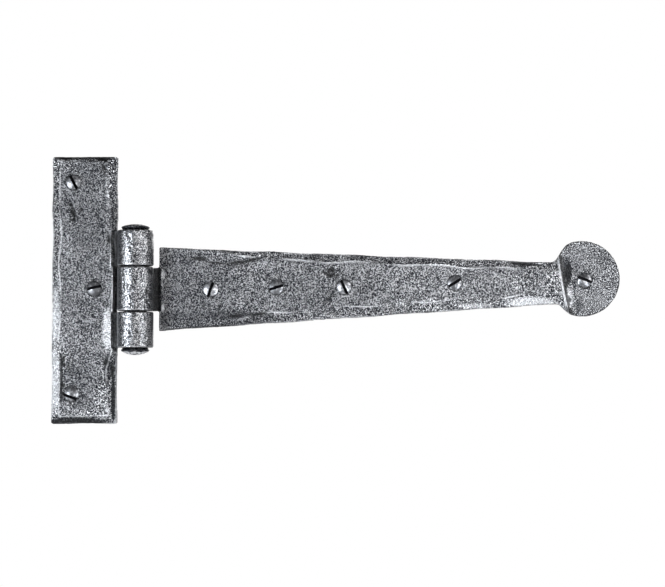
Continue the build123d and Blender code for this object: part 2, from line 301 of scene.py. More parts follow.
# The noises on a leaf: the wavelength in millimetres, and what each adds to the leaf's own seed
LEAF_NOISES = {
    "broad": (6.0, 0),
    "medium": (2.6, 1),
    "fine": (1.25, 2),
    "pitted": (1.9, 4),
    "wave": (17.0, 5),
    "ripple": (5.5, 6),
    "ragged": (3.2, 8),
    "polished": (13.0, 10),
}
BLOW_SEED, PIT_SEED, ROLL_PIT_SEED = 3, 7, 9
PIN_SEED, FIRST_SCREW_SEED = 5, 77

# Depth and wavelength, in millimetres, of the small marks that cover the pin and the screws
PIN_PEENING, SCREW_PEENING = (0.14, 2.4), (0.035, 1.6)

# How many columns go round the pin and round each screw
PIN_COLUMNS, SCREW_COLUMNS = 96, 40

# Colours of light
BLACK, WHITE, COOL = (0.0, 0.0, 0.0), (1.0, 1.0, 1.0), (0.9, 0.95, 1.0)

# Soft lights: name, place, what it looks at, width, height, watts and colour. Lengths are in metres
SOFT_LIGHTS = [
    ("left softbox", (-0.53, -0.58, -0.16), "pin", 0.18, 0.5, 8.4, COOL),
    ("right softbox", (0.48, -0.9, 0.0), "pin", 0.18, 0.5, 1.4, WHITE),
    ("low softbox", (0.38, -0.25, -0.15), "neck", 0.12, 0.12, 0.58, COOL),
    ("far softbox", (0.85, -0.4, 0.25), "strap", 0.3, 0.5, 2.4, WHITE),
    ("front softbox", (0.34, -1.2, 0.05), "middle", 0.25, 0.25, 1.3, WHITE),
    ("back softbox", (0.3, 0.9, 0.35), "middle", 0.6, 0.5, 5.0, WHITE),
]


def length(name, description, millimetres):
    """A length that shows in the scene's unit."""
    return bpy.props.FloatProperty(
        name=name,
        description=description,
        default=millimetres * MM,
        min=0.0,
        subtype="DISTANCE",
        unit="LENGTH",
        precision=5,
    )


def share(name, description, value, highest=1.0):
    """A plain number from 0 to highest."""
    return bpy.props.FloatProperty(name=name, description=description, default=value, min=0.0, max=highest)


def angle(name, description, turned):
    """An angle, given in degrees."""
    return bpy.props.FloatProperty(
        name=name, description=description, default=math.radians(turned), subtype="ANGLE", unit="ROTATION"
    )


def tint(name, description, colour):
    """A colour without alpha."""
    return bpy.props.FloatVectorProperty(
        name=name, description=description, default=colour, size=3, min=0.0, max=1.0, subtype="COLOR"
    )


class ForgingSettings(bpy.types.PropertyGroup):
    """What the hammer and the fire have left on the two leaves."""

    plate_mesh: length("Plate mesh", "Edge length of the back plate's even mesh", 0.42)
    strap_mesh: length("Strap mesh", "Edge length of the strap's even mesh", 0.45)
    blow_spacing: length("Blow spacing", "Distance between two blows on a face", 9.5)
    blow_radius: length("Blow radius", "Radius of the shallow dish that one blow leaves", 8.0)
    blow_depth: length("Blow depth", "Deepest dish that a blow leaves on a face", 0.2)
    face_roughness: length("Face roughness", "Height of the scale marks on a face", 0.07)
    bevel_roughness: length("Bevel roughness", "Height of the hammer marks on a bevel", 0.22)
    edge_waviness: length("Edge waviness", "How far an edge strays inwards", 0.22)
    pit_depth: length("Pit depth", "Depth of the scattered pits", 0.1)


class FinishSettings(bpy.types.PropertyGroup):
    """The colours and the gloss of the pewter patina and of the screws."""

    # dark is the patina in the pits, and also the colour of the painted shade patches
    dark: tint("Dark", "Patina in the pits", (0.012, 0.013, 0.017))
    middle: tint("Middle", "Patina on the faces", (0.122, 0.123, 0.129))
    rolled: tint("Rolled", "Patina on the rolls", (0.135, 0.138, 0.147))
    # bright is the burnished grains, and also the painted highlights on the leaves and the pin
    bright: tint("Bright", "Burnished metal on the high spots", (0.87, 0.872, 0.89))
    pin_dark: tint("Pin dark", "Scale on the pin's ends", (0.02, 0.02, 0.023))
    pin_light: tint("Pin light", "Grains of steel on the pin's ends", (0.13, 0.131, 0.137))
    screw_steel: tint("Screw steel", "Plain steel of the screws", (0.3, 0.304, 0.32))
    screw_bright: tint("Screw bright", "Brighter grains of the screws", (0.66, 0.665, 0.69))
    screw_stain: tint("Screw stain", "Stains on the screws", (0.12, 0.12, 0.12))
    # screw_rim and slot paint shade: the dark ring round a head and the dark inside of its slot
    screw_rim: tint("Screw rim", "Dark rim of a screw's head", (0.05, 0.05, 0.055))
    slot: tint("Slot", "Inside of a screw's slot", (0.006, 0.006, 0.007))
    grain_size: length("Grain size", "Width of one speckle of the patina", 0.49)
    gloss_low: share("Rough gloss", "Roughness of the dark patina", 0.52)
    gloss_high: share("Smooth gloss", "Roughness of the burnished metal", 0.28)


class PinSettings(bpy.types.PropertyGroup):
    """The turned and upset hinge pin."""

    neck_radius: length("Neck radius", "Radius where the upset end starts", 5.9)
    rim_radius: length("Rim radius", "Radius of the upset rim", 6.65)
    rim_stand: length("Rim stand", "Height of the rim above the knuckle", 1.65)
    shank_radius: length("Shank radius", "Radius of the shank in the bores", 5.46)
    top_dome: length("Top dome", "Rise of the upper end's dome", 1.2)
    bottom_dome: length("Bottom dome", "Rise of the lower end's dome", 1.75)


class ScrewSettings(bpy.types.PropertyGroup):
    """The slotted wood screws with raised countersunk heads."""

    dome_rise: length("Dome rise", "Rise of the head's dome above its rim", 1.1)
    shank_radius: length("Shank radius", "Radius of the plain shank", 1.95)
    core_radius: length("Core radius", "Radius at the root of the thread", 1.35)
    crest_radius: length("Crest radius", "Radius at the crest of the thread", 1.92)
    pitch: length("Pitch", "Advance of the thread in one turn", 1.6)
    plain_length: length("Plain length", "From the head's rim to the thread", 11.0)
    point_length: length("Point length", "Length of the gimlet point", 5.0)
    slot_width: length("Slot width", "Width of the driver's slot", 1.4)
    slot_depth: length("Slot depth", "Depth of the slot below the dome's top", 1.3)


class StageSettings(bpy.types.PropertyGroup):
    """The floor, the lights and the camera."""

    distance: length("Camera distance", "From the camera to the hinge", 900.0)
    aim_x: length("Aim along", "Point along the strap that the camera looks at", 117.5)
    aim_drop: length("Aim below", "How far under the origin the camera looks", 1.5)
    below: angle("Camera below", "How far the camera looks up at the hinge", 2.4)
    seen_width: length("Seen width", "Width that the picture takes in at the hinge", 316.3)
    floor_drop: length("Floor drop", "From the hinge's lowest point to the floor", 800.0)
    floor_width: length("Floor width", "Side of the square floor", 9000.0)
    floor_colour: tint("Floor", "Colour of the floor", (0.86, 0.86, 0.86))
    floor_glow: share("Floor glow", "Share of its colour that the floor shows to the camera", 0.75)
    room: tint("Room", "Colour of the room above and to the right", (0.23, 0.231, 0.237))
    room_below: tint("Room below", "Colour of the room below and to the left", (0.3, 0.31, 0.335))
    room_behind: tint("Room behind", "Colour of the room behind the hinge", (0.85, 0.85, 0.86))


class TeeHingeSettings(bpy.types.PropertyGroup):
    """Everything that can be set on the tee hinge."""

    forging: bpy.props.PointerProperty(type=ForgingSettings, name="Forging")
    finish: bpy.props.PointerProperty(type=FinishSettings, name="Finish")
    pin: bpy.props.PointerProperty(type=PinSettings, name="Pin")
    screw: bpy.props.PointerProperty(type=ScrewSettings, name="Screws")
    stage: bpy.props.PointerProperty(type=StageSettings, name="Stage")


def smooth_step(low, high, value):
    """0 below low, 1 above high and a smooth rise between them."""
    t = np.clip((value - low) / (high - low), 0.0, 1.0)
    return t * t * (3.0 - 2.0 * t)


def gradient_noise(points, wavelength, seed):
    """Smooth noise between about -1 and 1 at points in millimetres."""
    count = 48
    slopes = np.random.default_rng(seed).normal(size=(count, count, count, 3))
    slopes /= np.linalg.norm(slopes, axis=-1, keepdims=True)
    cell = points / wavelength
    base = np.floor(cell).astype(int)
    inside = cell - base
    fade = inside**3 * (inside * (inside * 6.0 - 15.0) + 10.0)
    total = np.zeros(len(points))
    for corner in itertools.product((0, 1), repeat=3):
        place = (base + corner) % count
        slope = slopes[place[:, 0], place[:, 1], place[:, 2]]
        weight = np.prod(np.where(corner, fade, 1.0 - fade), axis=1)
        total += weight * np.sum(slope * (inside - corner), axis=1)
    return 1.6 * total


def mesh_arrays(mesh):
    """The points in millimetres, the normals and the edges of a mesh."""
    points = np.empty(len(mesh.vertices) * 3)
    mesh.vertices.foreach_get("co", points)
    normals = np.empty(len(mesh.vertices) * 3)
    mesh.vertex_normals.foreach_get("vector", normals)
    edges = np.empty(len(mesh.edges) * 2, int)
    mesh.edges.foreach_get("vertices", edges)
    return points.reshape(-1, 3) / MM, normals.reshape(-1, 3), edges.reshape(-1, 2)


def set_points(mesh, points):
    """Moves a mesh's points, given in millimetres."""
    mesh.vertices.foreach_set("co", (points * MM).astype(np.float32).ravel())
    mesh.update()


def neighbour_mean(values, edges):
    """The mean of each point's neighbours, for one column or several."""
    columns = values.reshape(len(values), -1)
    degree = np.bincount(edges.ravel(), minlength=len(values))
    total = np.empty_like(columns)
    for column in range(columns.shape[1]):
        there = np.bincount(edges[:, 0], columns[edges[:, 1], column], len(values))
        back = np.bincount(edges[:, 1], columns[edges[:, 0], column], len(values))
        total[:, column] = (there + back) / np.maximum(degree, 1)
    return total.reshape(values.shape)


def set_mask(mesh, name, values, domain="POINT"):
    """Keeps one value for each point or face, which a material reads by its name."""
    attribute = mesh.attributes.new(name, "FLOAT", domain)
    attribute.data.foreach_set("value", values.astype(np.float32))


def add_piece(name, mesh, body, node, material):
    """A finished piece that stands for a CAD node and moves with its body."""
    piece = bpy.data.objects.new(name, mesh)
    bpy.context.scene.collection.objects.link(piece)
    mesh.materials.clear()
    mesh.materials.append(material)
    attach(piece, body)
    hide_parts(node)
    return piece


def even_mesh(node, voxel):
    """A closed mesh of even squares over a CAD node's surface."""
    copied = bpy.data.objects.new("blank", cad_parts[node].data.copy())
    bpy.context.scene.collection.objects.link(copied)
    weld = copied.modifiers.new("weld", "WELD")
    weld.merge_threshold = 0.001 * MM
    remesh = copied.modifiers.new("remesh", "REMESH")
    remesh.mode = "VOXEL"
    remesh.voxel_size = voxel
    remesh.use_smooth_shade = True
    mesh = bpy.data.meshes.new_from_object(copied.evaluated_get(bpy.context.evaluated_depsgraph_get()))
    bpy.data.objects.remove(copied)
    return mesh


def hammer_dishes(points, forging, seed):
    """How deep the overlapping dishes of the hammer blows are at each point."""
    rng = np.random.default_rng(seed)
    spacing, radius, depth = forging.blow_spacing / MM, forging.blow_radius / MM, forging.blow_depth / MM
    low, high = points.min(axis=0), points.max(axis=0)
    sunk = np.zeros(len(points))
    for x in np.arange(low[0], high[0] + spacing, spacing):
        for z in np.arange(low[2], high[2] + spacing, spacing):
            centre = np.array((x, z)) + rng.uniform(-0.4, 0.4, 2) * spacing
            reach = radius * rng.uniform(0.75, 1.25)
            away = np.sum((points[:, [0, 2]] - centre) ** 2, axis=1) / reach**2
            sunk = np.maximum(sunk, depth * rng.uniform(0.3, 1.0) * (1.0 - away))
    return sunk


def dents(points, marks):
    """How deep the single marks are at each point."""
    sunk = np.zeros(len(points))
    for x, z, half_length, half_width, turn, depth in marks:
        cosine, sine = math.cos(math.radians(turn)), math.sin(math.radians(turn))
        across_x, across_z = points[:, 0] - x, points[:, 2] - z
        along = (across_x * cosine + across_z * sine) / half_length
        aside = (across_z * cosine - across_x * sine) / half_width
        sunk += depth * np.exp(-(along**2) - aside**2)
    return sunk


def patches(points, places):
    """How strongly each point lies in one of these oval patches."""
    found = np.zeros(len(points))
    for x, z, half_length, half_height, strength in places:
        away = ((points[:, 0] - x) / half_length) ** 2 + ((points[:, 2] - z) / half_height) ** 2
        found = np.maximum(found, strength * smooth_step(1.0, 0.25, away))
    return found


def pit_marks(clusters, seed):
    """Single small marks for each cluster of pits."""
    rng = np.random.default_rng(seed)
    marks = []
    for x, z, half_width, half_height, count, depth in clusters:
        for _ in range(count):
            place = rng.normal(0.0, 0.5, 2) * (half_width, half_height)
            size = rng.uniform(0.45, 1.0)
            slimness = rng.uniform(0.5, 1.0)
            turn = rng.uniform(0.0, 180.0)
            sunk = depth * rng.uniform(0.5, 1.2)
            marks.append((x + place[0], z + place[1], size, size * slimness, turn, sunk))
    return marks


def screw_rim(screw):
    """The centre of a CAD screw and the radius of its head, in millimetres."""
    low, high = corners(screw)
    return (low + high) / 2, (high[0] - low[0]) / 2


def from_axis(places, centre):
    """How far these places lie from the axis of the screw with this centre."""
    return np.hypot(places[:, 0] - centre[0], places[:, 2] - centre[2])


def screw_clearance(points, screws, ramp=1.4):
    """0 in and beside the countersinks of these screws and 1 a little way off."""
    keep = np.ones(len(points))
    for screw in screws:
        centre, rim = screw_rim(screw)
        start = rim + 0.5
        keep *= smooth_step(start, start + ramp, from_axis(points, centre))
    return keep


# What is known of each point before hammering. forward is 1 where it faces the front and -1 at the back,
# from_pin is its distance from the pin's axis in millimetres, and the rest are masks from 0 to 1
LeafRegions = namedtuple("LeafRegions", "forward from_pin rolled in_bore bevel wall on_front clear")


def leaf_regions(points, normals, edges, screws):
    """Where the rolls, bores, bevels, edge walls, fronts and countersinks of a leaf lie."""
    steady = neighbour_mean(neighbour_mean(normals, edges), edges)
    forward = -steady[:, 1] / np.linalg.norm(steady, axis=1)
    from_pin = np.hypot(points[:, 0] - PIN_AXIS_X, points[:, 1] - PIN_AXIS_Y)
    rolled = smooth_step(KNUCKLE_RADIUS + 0.8, KNUCKLE_RADIUS + 0.2, from_pin)
    return LeafRegions(
        forward=forward,
        from_pin=from_pin,
        rolled=rolled,
        in_bore=smooth_step(KNUCKLE_RADIUS - 1.6, KNUCKLE_RADIUS - 2.2, from_pin),
        bevel=smooth_step(0.995, 0.955, forward) * smooth_step(0.6, 0.75, forward) * (1.0 - rolled),
        wall=smooth_step(0.7, 0.35, np.abs(forward)) * (1.0 - rolled),
        on_front=smooth_step(PIN_AXIS_Y + 1.0, PIN_AXIS_Y - 1.0, points[:, 1]),
        clear=screw_clearance(points, screws),
    )


def leaf_noise(points, name, work):
    """One of the noises on a leaf, between about -1 and 1."""
    wavelength, added = LEAF_NOISES[name]
    return gradient_noise(points, wavelength, work.seed + added)


def single_marks(points, work, regions):
    """How deep the single marks and the clusters of pits are on a leaf's front."""
    on_bar = dents(points, work.marks + pit_marks(work.pits, work.seed + PIT_SEED))
    on_roll = dents(points, work.roll_marks + pit_marks(work.roll_pits, work.seed + ROLL_PIT_SEED))
    struck = (1.0 - regions.rolled) * on_bar + regions.rolled * regions.on_front * on_roll
    return struck * smooth_step(0.0, 0.3, regions.forward)


def hammered_height(points, forging, work, regions, struck):
    """How far each point of a leaf is raised or sunk, with the bores, countersinks and backs left even."""
    rolled, wall = regions.rolled, regions.wall
    face_height = forging.face_roughness / MM
    bevel_height = forging.bevel_roughness / MM
    medium = leaf_noise(points, "medium", work)
    fine = leaf_noise(points, "fine", work)
    height = face_height * (0.7 * medium + fine)
    height += regions.bevel * bevel_height * (0.9 * leaf_noise(points, "broad", work) + medium + 0.5 * fine)
    height -= (1.0 - rolled) * (1.0 - wall) * hammer_dishes(points, forging, work.seed + BLOW_SEED)
    height -= forging.pit_depth / MM * smooth_step(0.2, 0.6, leaf_noise(points, "pitted", work))
    wave = 0.6 * leaf_noise(points, "wave", work) + 0.4 * leaf_noise(points, "ripple", work)
    height -= wall * forging.edge_waviness / MM * (0.5 + wave)
    height -= struck
    height = np.where(rolled > 0.5, np.minimum(height, 0.0), height)
    height *= (1.0 - smooth_step(0.6, 0.9, -regions.forward)) * (1.0 - regions.in_bore)
    return height * regions.clear


def convexity(points, normals, edges):
    """How far each point stands out from its neighbours, as a share of the mesh's usual edge."""
    step = np.median(np.linalg.norm(points[edges[:, 0]] - points[edges[:, 1]], axis=1))
    convex = -np.sum((neighbour_mean(points, edges) - points) * normals, axis=1) / step
    for _ in range(3):
        convex = neighbour_mean(convex, edges)
    return convex


def bevel_borders(bevel, edges):
    """How much the bevel mask varies round each point, which is most where face and bevel meet."""
    shares = np.column_stack((bevel, bevel**2))
    for _ in range(2):
        shares = neighbour_mean(shares, edges)
    return np.sqrt(np.maximum(shares[:, 1] - shares[:, 0] ** 2, 0.0))


def screw_rings(points, screws):
    """1 in the ring of painted shadow round each of these screws' heads and 0 away from it."""
    rings = np.zeros(len(points))
    for screw in screws:
        centre, rim = screw_rim(screw)
        rings = np.maximum(rings, smooth_step(rim + 0.95, rim + 0.35, from_axis(points, centre)))
    return rings


def knuckle_recess(points, forward):
    """1 on the sunken fronts beside the knuckles, which are given painted shade, and 0 away from them."""
    beside_pin = smooth_step(KNUCKLE_RADIUS + 3.6, KNUCKLE_RADIUS + 2.4, np.abs(points[:, 0] - PIN_AXIS_X))
    level_with_pin = smooth_step(PIN_HIGH[2] - 0.5, PIN_HIGH[2] - 2.5, np.abs(points[:, 2]))
    sunken = smooth_step(-3.9, -3.2, points[:, 1])
    return sunken * beside_pin * level_with_pin * smooth_step(0.3, 0.6, forward)


def past_step(points):
    """How far each point lies past the step down to the round end, in millimetres."""
    lean = math.radians(STEP_LEAN)
    return (points[:, 0] - STEP_X) * math.cos(lean) + (points[:, 2] - STEP_Z) * math.sin(lean)


def keep_leaf_masks(mesh, work, regions, struck):
    """Keeps the masks that a hammered leaf's material reads."""
    points, normals, edges = mesh_arrays(mesh)
    forward, rolled = regions.forward, regions.rolled
    facing_down = -normals[:, 2]
    convex = convexity(points, normals, edges)
    beyond = past_step(points)

    beside = points[:, 0] - PIN_AXIS_X
    # Painted shade on the flanks of the rolls, darker on the left one, which joins the tarnish and shade mask
    flank_shade = np.maximum(0.7 * smooth_step(-5.4, -6.6, beside), 0.5 * smooth_step(7.2, 7.9, beside))
    flank_shade *= rolled * regions.on_front
    tarnished = np.maximum(patches(points, work.tarnished) * (1.0 - rolled), flank_shade)

    ragged = 1.9 + 1.3 * leaf_noise(points, "ragged", work)
    # Darkened places: dark patina and painted shade in concave places and marks, painted shadow rings round
    # the screws, painted shade beside the knuckles and on the rolls' ends, a painted shadow past the step,
    # and the darkest tarnish and shade patches
    shade_and_patina_parts = (
        smooth_step(0.03, 0.16, -convex),
        0.5 * screw_rings(points, work.screws),
        knuckle_recess(points, forward) * (1.0 - rolled),
        smooth_step(0.1, 0.28, struck),
        rolled * smooth_step(0.3, 0.6, -facing_down) + rolled * smooth_step(0.75, 0.9, facing_down),
        0.95 * smooth_step(0.3, 0.7, beyond) * smooth_step(ragged + 0.5, ragged, beyond),
        0.8 * smooth_step(0.85, 1.0, tarnished),
    )

    # A bright line along the crease between face and bevel: polish with a painted highlight
    on_bar = smooth_step(NECK_X + 3.0, NECK_X, points[:, 0]) * regions.clear
    on_bar *= smooth_step(work.ridge_start, work.ridge_start + RIDGE_RAMP, points[:, 0])
    polished = smooth_step(-0.45, 0.35, leaf_noise(points, "polished", work))
    ridge = 0.8 * smooth_step(0.18, 0.36, bevel_borders(regions.bevel, edges)) * on_bar
    ridge *= (1.0 - 0.75 * tarnished) * polished
    # A painted highlight along the step down to the round end
    step_highlight = smooth_step(0.7, 0.25, np.abs(beyond + 0.1)) * smooth_step(0.5, 0.8, forward)
    # A painted highlight along the lower rims of the rolls
    lower_rim_highlight = rolled * smooth_step(0.25, 0.45, facing_down) * smooth_step(0.85, 0.75, facing_down)

    masks = {
        "tarnished": tarnished,
        "worn_edge": smooth_step(0.05, 0.25, convex) * regions.clear,
        "shade_and_patina": np.maximum.reduce(shade_and_patina_parts),
        "bevel": np.maximum(regions.bevel, patches(points, work.coarse)),
        "rubbed": np.maximum(patches(points, work.rubbed) * smooth_step(0.3, 0.6, forward), lower_rim_highlight),
        "ridge": np.maximum(ridge, step_highlight),
        "rolled": rolled * smooth_step(KNUCKLE_RADIUS - 0.9, KNUCKLE_RADIUS - 0.5, regions.from_pin),
    }
    for name, values in masks.items():
        set_mask(mesh, name, values)


def forge_leaf(mesh, forging, work):
    """Hammers an even mesh of a leaf inside its own box, and keeps the masks that its material reads."""
    points, normals, edges = mesh_arrays(mesh)
    regions = leaf_regions(points, normals, edges, work.screws)
    struck = single_marks(points, work, regions)
    moved = points + normals * hammered_height(points, forging, work, regions, struck)[:, None]
    moved[:, 1] = np.minimum(moved[:, 1], 0.0)
    set_points(mesh, np.clip(moved, work.low, work.high))
    keep_leaf_masks(mesh, work, regions, struck)


def turned_mesh(name, profile, columns, place, wobble=None):
    """A closed mesh turned about an axis, from a profile of radius and height from end to end."""
    body = bmesh.new()
    rings = []
    for radius, height in profile:
        if radius <= 0.0:
            rings.append([body.verts.new(place(0.0, 0.0, height))])
            continue
        ring = []
        for column in range(columns):
            turned = 2.0 * math.pi * column / columns
            reach = radius if wobble is None else wobble(radius, height, turned)
            ring.append(body.verts.new(place(reach * math.cos(turned), reach * math.sin(turned), height)))
        rings.append(ring)
    for first, second in zip(rings, rings[1:]):
        for column in range(columns):
            after = (column + 1) % columns
            if len(first) == 1:
                body.faces.new((first[0], second[column], second[after]))
            elif len(second) == 1:
                body.faces.new((first[column], second[0], first[after]))
            else:
                body.faces.new((first[column], second[column], second[after], first[after]))
    bmesh.ops.recalc_face_normals(body, faces=body.faces)
    mesh = bpy.data.meshes.new(name)
    body.to_mesh(mesh)
    body.free()
    mesh.shade_smooth()
    return mesh


def domed_end(radius, start, rise, rings=9):
    """The profile of a domed end, from its top on the axis out to its rim."""
    return [
        (radius * step / rings, start + rise * (1.0 - (step / rings) ** DOME_POWER))
        for step in range(rings + 1)
    ]


def upset_end(pin, rim_height, dome, inwards):
    """One upset end from its dome in to the shank. inwards is -1 at the top and 1 at the bottom."""
    neck, rim, shank = pin.neck_radius / MM, pin.rim_radius / MM, pin.shank_radius / MM
    shank_height = rim_height + inwards * pin.rim_stand / MM
    return domed_end(rim - 0.25, rim_height, -inwards * dome) + [
        (rim, rim_height + inwards * 0.3),
        (rim - 0.15, rim_height + inwards * 0.7),
        (neck, shank_height - inwards * 0.1),
        (shank, shank_height),
    ]


def pin_profile(pin):
    """The pin from its upper dome down to its lower one, in millimetres."""
    top_dome, bottom_dome = pin.top_dome / MM, pin.bottom_dome / MM
    upper = upset_end(pin, PIN_HIGH[2] - top_dome, top_dome, -1.0)
    lower = upset_end(pin, PIN_LOW[2] + bottom_dome, bottom_dome, 1.0)
    shank, start = upper[-1]
    run = lower[-1][1] - start
    spans = 40
    return upper + [(shank, start + run * span / spans) for span in range(1, spans)] + lower[::-1]


def peen(mesh, depth, wavelength, seed, low, high):
    """Leaves small uneven marks on a mesh, inside its own box."""
    points, normals, edges = mesh_arrays(mesh)
    height = depth * gradient_noise(points, wavelength, seed)
    height += 0.5 * depth * gradient_noise(points, wavelength / 2.3, seed + 1)
    set_points(mesh, np.clip(points + normals * np.minimum(height, 0.2 * depth)[:, None], low, high))


def screw_profile(screw, head_radius, total):
    """The screw from its dome to its point, and the height of the thread at each ring, in millimetres."""
    shank, core, crest = screw.shank_radius / MM, screw.core_radius / MM, screw.crest_radius / MM
    rise, pitch = screw.dome_rise / MM, screw.pitch / MM
    plain, point = screw.plain_length / MM, screw.point_length / MM
    rim_round, tip_radius = 0.12, 0.12
    cone_end = head_radius - shank
    profile = domed_end(head_radius - rim_round, 0.0, -rise, 12)
    profile += [(head_radius, rim_round), (shank + 0.05, cone_end), (shank, cone_end + 0.2)]
    profile += [(shank, plain - 0.6)]
    threads = [0.0] * len(profile)
    tip = total - rise
    rings_in_a_turn = 10
    count = int(round((tip - plain) / pitch * rings_in_a_turn))
    for ring in range(count):
        down = plain + (tip - plain) * ring / count
        narrowing = min(1.0, (tip - down) / point)
        started = min(1.0, (down - plain) / pitch + 0.05)
        profile.append((tip_radius + (core - tip_radius) * narrowing**0.8, down))
        threads.append((crest - core) * started * (0.3 + 0.7 * narrowing))
    profile.append((0.0, tip))
    threads.append(0.0)
    return profile, threads


def screw_mesh(name, screw, node, seed):
    """A slotted wood screw on the axis of a CAD screw, as long as that one is."""
    low, high = corners(node)
    centre, radius = screw_rim(node)
    rim_y = low[1] + screw.dome_rise / MM
    profile, threads = screw_profile(screw, radius, high[1] - low[1])
    thread_at = dict(zip((height for _, height in profile), threads))
    pitch = screw.pitch / MM
    flank_width = 0.3

    def wobble(radius, height, turned):
        phase = (height / pitch - turned / (2.0 * math.pi)) % 1.0
        return radius + thread_at[height] * max(0.0, 1.0 - abs(phase - 0.5) / flank_width)

    def place(across, up, height):
        return ((centre[0] + across) * MM, (rim_y + height) * MM, (centre[2] + up) * MM)

    mesh = turned_mesh(name, profile, SCREW_COLUMNS, place, wobble)
    peen(mesh, *SCREW_PEENING, seed, low, high)
    turn, shift, shade_and_tarnish = SCREW_SLOTS[node]
    cut = cut_slot(mesh, screw, (centre[0], low[1], centre[2]), turn, shift)
    keep_screw_masks(cut, screw, node, shade_and_tarnish)
    return cut


def keep_screw_masks(mesh, screw, node, shade_and_tarnish):
    """Keeps the masks of the rim's painted shade, the head's tarnish and painted shade, and the slot's
    painted shade, which the screws' material reads.
    """
    top = corners(node)[0][1]
    centre, radius = screw_rim(node)
    points, _, _ = mesh_arrays(mesh)
    # Painted shade in a dark ring at the head's rim
    set_mask(mesh, "rim", smooth_step(radius - 0.7, radius - 0.1, from_axis(points, centre)))
    set_mask(mesh, "tarnished", np.full(len(points), shade_and_tarnish))
    middles = np.empty(len(mesh.polygons) * 3)
    mesh.polygons.foreach_get("center", middles)
    middles = middles.reshape(-1, 3) / MM
    dome = top + screw.dome_rise / MM * np.minimum(from_axis(middles, centre) / radius, 1.0) ** DOME_POWER
    slot_floor = top + screw.slot_depth / MM
    in_slot = (middles[:, 1] > dome + 0.12) & (middles[:, 1] < slot_floor + 0.05)
    set_mask(mesh, "slot", in_slot, "FACE")


def cut_slot(mesh, screw, top, turn, shift):
    """Cuts the driver's slot across a screw's head. top is the dome's highest point."""
    depth, width = screw.slot_depth / MM, screw.slot_width / MM
    run = 10.0
    turned = Matrix.Rotation(math.radians(-turn), 4, "Y")
    shape = Matrix.Diagonal((run * MM, 2.0 * depth * MM, width * MM, 1.0))
    sideways = Matrix.Translation((0.0, 0.0, shift * MM))
    body = bmesh.new()
    at_top = Matrix.Translation(Vector(top) * MM)
    bmesh.ops.create_cube(body, size=1.0, matrix=at_top @ turned @ sideways @ shape)
    cutter_mesh = bpy.data.meshes.new("slot cutter")
    body.to_mesh(cutter_mesh)
    body.free()
    cutter = bpy.data.objects.new("slot cutter", cutter_mesh)
    blank = bpy.data.objects.new("screw blank", mesh)
    for item in (cutter, blank):
        bpy.context.scene.collection.objects.link(item)
    boolean = blank.modifiers.new("slot", "BOOLEAN")
    boolean.operation = "DIFFERENCE"
    boolean.solver = "EXACT"
    boolean.object = cutter
    cut = bpy.data.meshes.new_from_object(blank.evaluated_get(bpy.context.evaluated_depsgraph_get()))
    bpy.data.objects.remove(blank)
    bpy.data.objects.remove(cutter)
    cut.set_sharp_from_angle(angle=math.radians(38.0))
    return cut


def new_group(name, inputs, outputs):
    """A shader node group with named inputs, which have defaults, and named outputs."""
    group = bpy.data.node_groups.new(name, "ShaderNodeTree")
    for socket_name, (kind, value) in inputs.items():
        socket = group.interface.new_socket(socket_name, in_out="INPUT", socket_type=kind)
        socket.default_value = value
    for socket_name, kind in outputs.items():
        group.interface.new_socket(socket_name, in_out="OUTPUT", socket_type=kind)
    return group, group.nodes.new("NodeGroupInput"), group.nodes.new("NodeGroupOutput")


def add_node(tree, kind, values=None, **settings):
    """A node with its settings, and values for its input sockets by name or number."""
    node = tree.nodes.new(kind)
    for setting, value in settings.items():
        setattr(node, setting, value)
    for socket, value in (values or {}).items():
        if isinstance(value, bpy.types.NodeSocket):
            tree.links.new(value, node.inputs[socket])
        else:
            node.inputs[socket].default_value = value
    return node


def arithmetic(tree, operation, *values):
    """The result of a Math node."""
    return add_node(tree, "ShaderNodeMath", dict(enumerate(values)), operation=operation).outputs[0]


def times(tree, first, second):
    """The product of two values."""
    return arithmetic(tree, "MULTIPLY", first, second)


def larger(tree, first, second):
    """The larger of two values."""
    return arithmetic(tree, "MAXIMUM", first, second)


def less(tree, first, second):
    """What is left of first when second is taken off."""
    return arithmetic(tree, "SUBTRACT", first, second)


def ramp(tree, value, low, high):
    """A smooth rise from 0 to 1 while value goes from low to high."""
    sockets = {"Value": value, "From Min": low, "From Max": high}
    return add_node(tree, "ShaderNodeMapRange", sockets, interpolation_type="SMOOTHSTEP").outputs["Result"]


def blend(tree, factor, first, second):
    """A colour between first and second."""
    node = add_node(tree, "ShaderNodeMix", {0: factor}, data_type="RGBA")
    for socket, value in ((node.inputs[6], first), (node.inputs[7], second)):
        if isinstance(value, bpy.types.NodeSocket):
            tree.links.new(value, socket)
        else:
            socket.default_value = value
    return node.outputs[2]


def noise(tree, place, scale, detail=2.0, roughness=0.5):
    """The value of a Noise texture."""
    sockets = {"Vector": place, "Scale": scale, "Detail": detail, "Roughness": roughness}
    return add_node(tree, "ShaderNodeTexNoise", sockets).outputs["Fac"]


